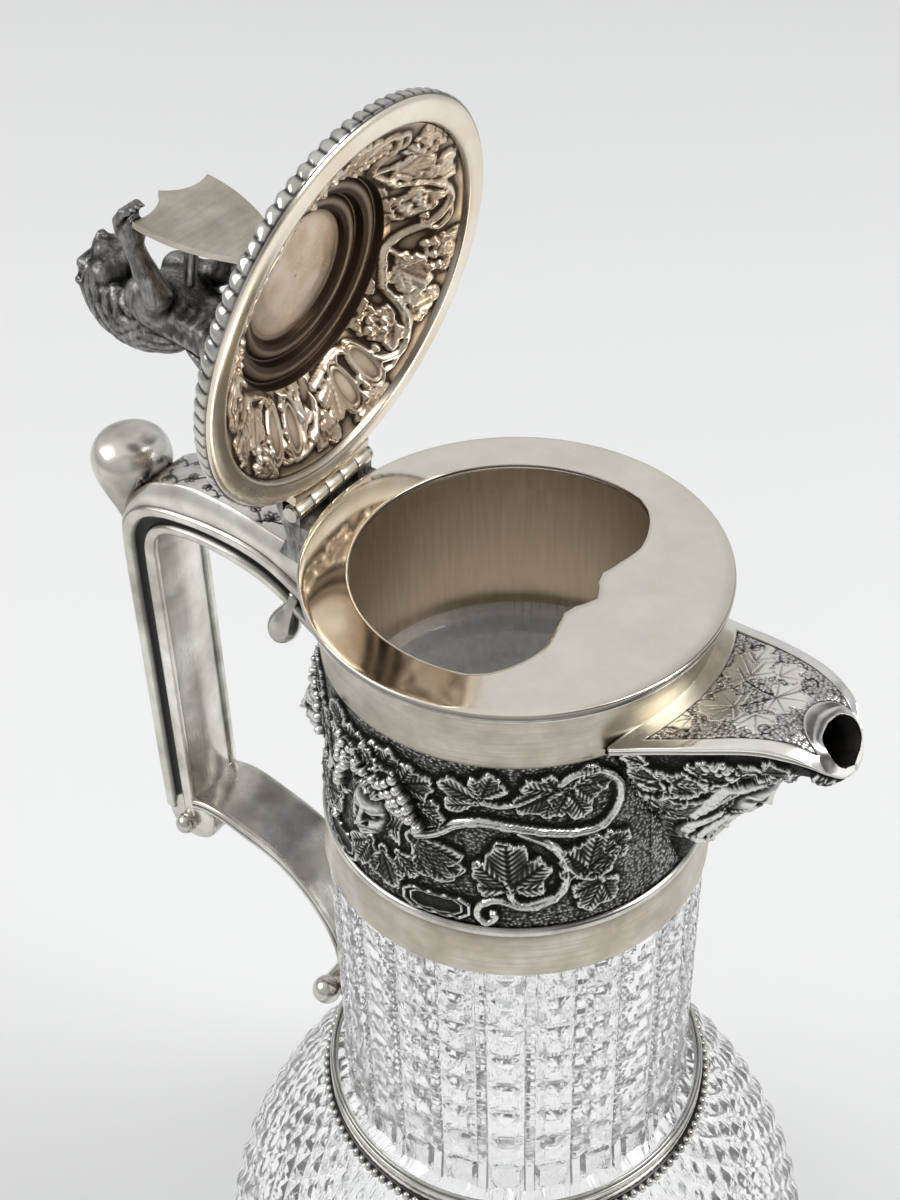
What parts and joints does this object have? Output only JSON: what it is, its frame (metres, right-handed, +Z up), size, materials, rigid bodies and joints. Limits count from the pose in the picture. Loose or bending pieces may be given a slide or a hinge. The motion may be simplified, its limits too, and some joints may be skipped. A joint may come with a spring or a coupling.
{
  "type": "claret jug",
  "caption": "Cut-glass claret jug with a silver neck mount, short pouring spout, square handle and hinged domed lid topped by a lion holding a shield, lid open.",
  "frame": {"origin": "middle of the resting face under the foot", "axes": "+Z up along the neck, +X along the spout, handle towards -X"},
  "size_m": [0.1683, 0.136, 0.3306],
  "materials": {
    "cut_glass": "clear cut lead glass",
    "cement": "plaster bedding, hidden",
    "satin_silver": "brushed silver",
    "polished_silver": "polished silver",
    "gilt_silver": "worn pale gilding on silver",
    "oxidised_silver": "oxidised cast and chased silver"
  },
  "bodies": {
    "jug": {"band_wire": "polished_silver", "bead_wire": "polished_silver", "collar_cement": "cement", "elbow_bar": "polished_silver", "frieze_band": "oxidised_silver", "frieze_masks": "oxidised_silver", "glass_body": "cut_glass", "grip": "satin_silver", "hinge_block": "polished_silver", "hinge_pin": "gilt_silver", "lower_arm": "satin_silver", "lower_band": "satin_silver", "lower_collar": "polished_silver", "lower_scroll": "polished_silver", "mouth_liner": "gilt_silver", "neck_cement": "cement", "neck_lining": "gilt_silver", "rim_plate": "polished_silver", "rim_wire": "polished_silver", "spout_mask": "oxidised_silver", "spout_plate": "satin_silver", "spout_shell": "oxidised_silver", "thumbpiece": "polished_silver", "upper_arm": "satin_silver", "upper_band": "satin_silver", "upper_drop": "polished_silver"},
    "lid": {"lid_flange": "gilt_silver", "lid_dome": "gilt_silver", "gadroon_border": "polished_silver", "lid_leaf": "gilt_silver", "lion": "oxidised_silver", "shield": "satin_silver", "shield_peg": "oxidised_silver"}
  },
  "joints": [
    {"name": "lid_hinge", "type": "hinge", "parent": "jug", "child": "lid", "pos_m": [-0.0406, 0, 0.253], "axis": [0, 1, 0], "range_deg": [0, 78.8]}
  ]
}
